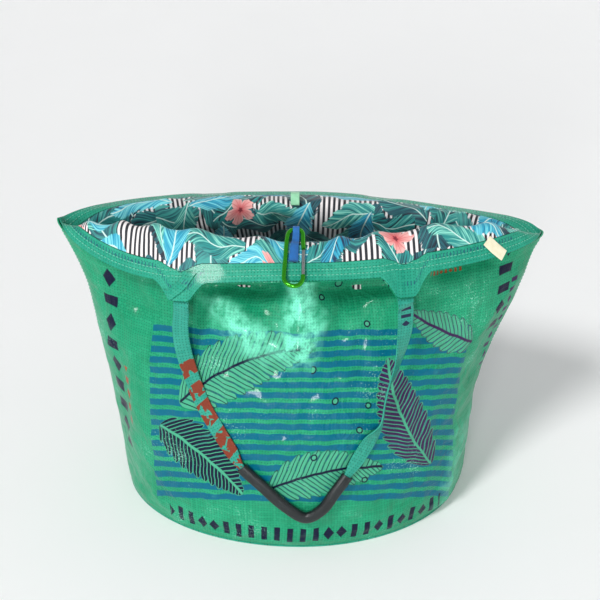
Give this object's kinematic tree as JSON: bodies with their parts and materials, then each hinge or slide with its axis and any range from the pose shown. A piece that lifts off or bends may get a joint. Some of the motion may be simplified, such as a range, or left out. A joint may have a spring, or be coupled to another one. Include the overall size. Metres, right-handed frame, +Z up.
{
  "type": "feed sack tote bag",
  "caption": "Roomy tote sewn from woven feed sacks, its rim flopped outwards over hanging handles, with a printed lining and a small spring clip on a loop inside the mouth.",
  "frame": {"origin": "the middle of the flat base's underside, where the bag stands on the floor", "axes": "X runs along the mouth from its left tip to its right one as seen from the front, Y runs from the front panel to the back, Z is up"},
  "size_m": [0.478, 0.2994, 0.3274],
  "materials": {
    "sack_cloth": "woven tape laminated with a thin glossy film, green ground with blue stripes and dark line print",
    "band_cloth": "the same laminated weave, seen on the folded rim band",
    "lining_cloth": "smooth woven cotton, leaf and flower print over thin black and white stripes",
    "strap_webbing": "folded laminated sack cloth strip, slightly glossy",
    "grip_sleeve": "dull dark grey rubber sleeve",
    "green_anodised": "bright green anodised wire",
    "clip_steel": "plain bright steel rod",
    "blue_webbing": "narrow matt woven tape",
    "pale_webbing": "narrow matt woven tape",
    "cream_tape": "matt folded cloth tape"
  },
  "bodies": {
    "bag": {"base": "sack_cloth", "front_panel": "sack_cloth", "front_facing": "band_cloth", "back_panel": "sack_cloth", "back_facing": "band_cloth", "lining": "lining_cloth", "front_strap": "strap_webbing", "front_grip": "grip_sleeve", "back_strap": "strap_webbing", "back_grip": "grip_sleeve", "clip": "green_anodised", "clip_loop": "blue_webbing", "back_loop": "pale_webbing", "side_tab": "cream_tape"},
    "gate": {"clip_gate": "clip_steel"}
  },
  "joints": [
    {"name": "gate_hinge", "type": "hinge", "parent": "bag", "child": "gate", "pos_m": [0.00317, -0.07759, 0.31279], "axis": [0, 0.454, -0.891], "range_deg": [0, 12], "stiffness_Nm_per_rad": 0.001, "springref_deg": -8.59}
  ]
}
